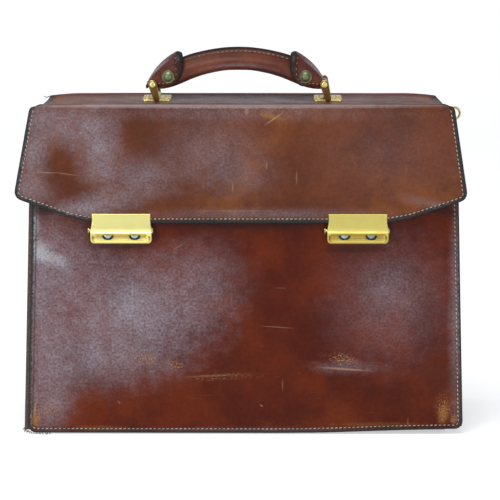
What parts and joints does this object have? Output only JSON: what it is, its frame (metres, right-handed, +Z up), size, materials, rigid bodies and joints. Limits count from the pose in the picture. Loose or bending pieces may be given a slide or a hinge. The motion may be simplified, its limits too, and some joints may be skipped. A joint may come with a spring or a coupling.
{
  "type": "flap-over leather briefcase",
  "caption": "Soft-sided leather briefcase with a folding front flap, brass locks, a swaying carry handle on stirrups, gusseted sides and a divider.",
  "frame": {"origin": "centre of the base's flat underside, on the surface that the case stands on", "axes": "+X to the right along the case as seen from its flap side, +Y to the back, +Z up"},
  "size_m": [0.4174, 0.116, 0.3619],
  "materials": {
    "leather_flap": "waxed brown hide with worn grain",
    "leather_body": "dark red brown hide, polished and scuffed",
    "leather_handle": "smooth padded hide, stitched",
    "lining": "tan suede split",
    "board": "pressed fibre board",
    "brass": "satin lacquered brass, lightly worn",
    "old_brass": "aged greenish brass",
    "steel": "plain steel",
    "dial": "dark plated steel, bright centre"
  },
  "bodies": {
    "case": {"back_panel": "leather_flap", "back_board": "board", "back_lining": "lining", "top_strip": "steel", "top_lining": "lining", "base_leather": "leather_body", "base_board": "board", "base_lining": "lining", "gusset_back_left": "leather_body", "gusset_back_right": "leather_body", "handle_plate_left": "brass", "handle_plate_right": "brass", "handle_plate_rivets": "brass", "ring_bracket_left": "brass", "ring_bracket_right": "brass", "bracket_rivets": "steel"},
    "front_wall": {"front_panel": "leather_body", "front_board": "board", "front_lining": "lining", "gusset_front_left": "leather_body", "gusset_front_right": "leather_body", "strike_left": "old_brass", "strike_right": "old_brass", "strike_backing_left": "steel", "strike_backing_right": "steel", "strike_rivets": "steel"},
    "divider": {"divider": "lining"},
    "flap": {"flap": "leather_flap", "flap_lining": "lining", "hasp_left": "brass", "hasp_right": "brass", "lock_cover_left": "brass", "lock_cover_right": "brass", "hasp_backing_left": "steel", "hasp_backing_right": "steel", "hasp_rivets": "steel"},
    "dial_left_1": {"dial_left_1": "dial"},
    "dial_left_2": {"dial_left_2": "dial"},
    "dial_right_1": {"dial_right_1": "dial"},
    "dial_right_2": {"dial_right_2": "dial"},
    "release_bar_left": {"release_bar_left": "brass"},
    "release_bar_right": {"release_bar_right": "brass"},
    "bail_left": {"bail_left": "brass", "handle_pin_left": "brass"},
    "bail_right": {"bail_right": "brass", "handle_pin_right": "brass"},
    "handle": {"handle_core": "steel", "handle_grip": "leather_handle", "handle_cap_left": "leather_handle", "handle_cap_right": "leather_handle", "handle_stud_left": "old_brass", "handle_stud_right": "old_brass"},
    "strap_ring_left": {"strap_ring_left": "brass"},
    "strap_ring_right": {"strap_ring_right": "brass"}
  },
  "joints": [
    {"name": "flap_open", "type": "hinge", "parent": "case", "child": "flap", "pos_m": [0, -0.03236, 0.3104], "axis": [-1, 0, 0], "range_deg": [0, 165]},
    {"name": "front_wall_open", "type": "hinge", "parent": "case", "child": "front_wall", "pos_m": [0, -0.05636, 0.00235], "axis": [1, 0, 0], "range_deg": [0, 14]},
    {"name": "divider_tilt", "type": "hinge", "parent": "case", "child": "divider", "pos_m": [0, 0, 0.0061], "axis": [1, 0, 0], "range_deg": [0, 7]},
    {"name": "dial_left_1_turn", "type": "hinge", "parent": "flap", "child": "dial_left_1", "pos_m": [-0.1255, -0.04634, 0.19179], "axis": [0, -0.9954, 0.0954], "continuous": true},
    {"name": "dial_left_2_turn", "type": "hinge", "parent": "flap", "child": "dial_left_2", "pos_m": [-0.1005, -0.04634, 0.19179], "axis": [0, -0.9954, 0.0954], "continuous": true},
    {"name": "dial_right_1_turn", "type": "hinge", "parent": "flap", "child": "dial_right_1", "pos_m": [0.0955, -0.04634, 0.19179], "axis": [0, -0.9954, 0.0954], "continuous": true},
    {"name": "dial_right_2_turn", "type": "hinge", "parent": "flap", "child": "dial_right_2", "pos_m": [0.1205, -0.04634, 0.19179], "axis": [0, -0.9954, 0.0954], "continuous": true},
    {"name": "release_left_slide", "type": "slide", "parent": "flap", "child": "release_bar_left", "axis": [1, 0, 0], "range_m": [0, 0.0024]},
    {"name": "release_right_slide", "type": "slide", "parent": "flap", "child": "release_bar_right", "axis": [1, 0, 0], "range_m": [0, 0.0024]},
    {"name": "handle_sway", "type": "hinge", "parent": "case", "child": "bail_left", "pos_m": [-0.08, -0.005, 0.316], "axis": [0, 1, 0], "range_deg": [-23, 53]},
    {"name": "handle_level", "type": "hinge", "parent": "bail_left", "child": "handle", "pos_m": [-0.08352, -0.005, 0.32914], "axis": [0, 1, 0], "range_deg": [-53, 23]},
    {"name": "right_bail_sway", "type": "hinge", "parent": "case", "child": "bail_right", "pos_m": [0.08, -0.005, 0.316], "axis": [0, 1, 0], "range_deg": [-23, 53]},
    {"name": "strap_ring_left_swing", "type": "hinge", "parent": "case", "child": "strap_ring_left", "pos_m": [-0.1926, -0.005, 0.2994], "axis": [0, 0, 1], "range_deg": [0, 165]},
    {"name": "strap_ring_right_swing", "type": "hinge", "parent": "case", "child": "strap_ring_right", "pos_m": [0.1926, -0.005, 0.2994], "axis": [0, 0, 1], "range_deg": [-75, 75]}
  ],
  "couplings": [
    {"joint": "front_wall_open", "follows": "flap_open", "ratio": 0.08484},
    {"joint": "divider_tilt", "follows": "flap_open", "ratio": 0.04242},
    {"joint": "handle_level", "follows": "handle_sway", "ratio": -1},
    {"joint": "right_bail_sway", "follows": "handle_sway", "ratio": 1}
  ]
}
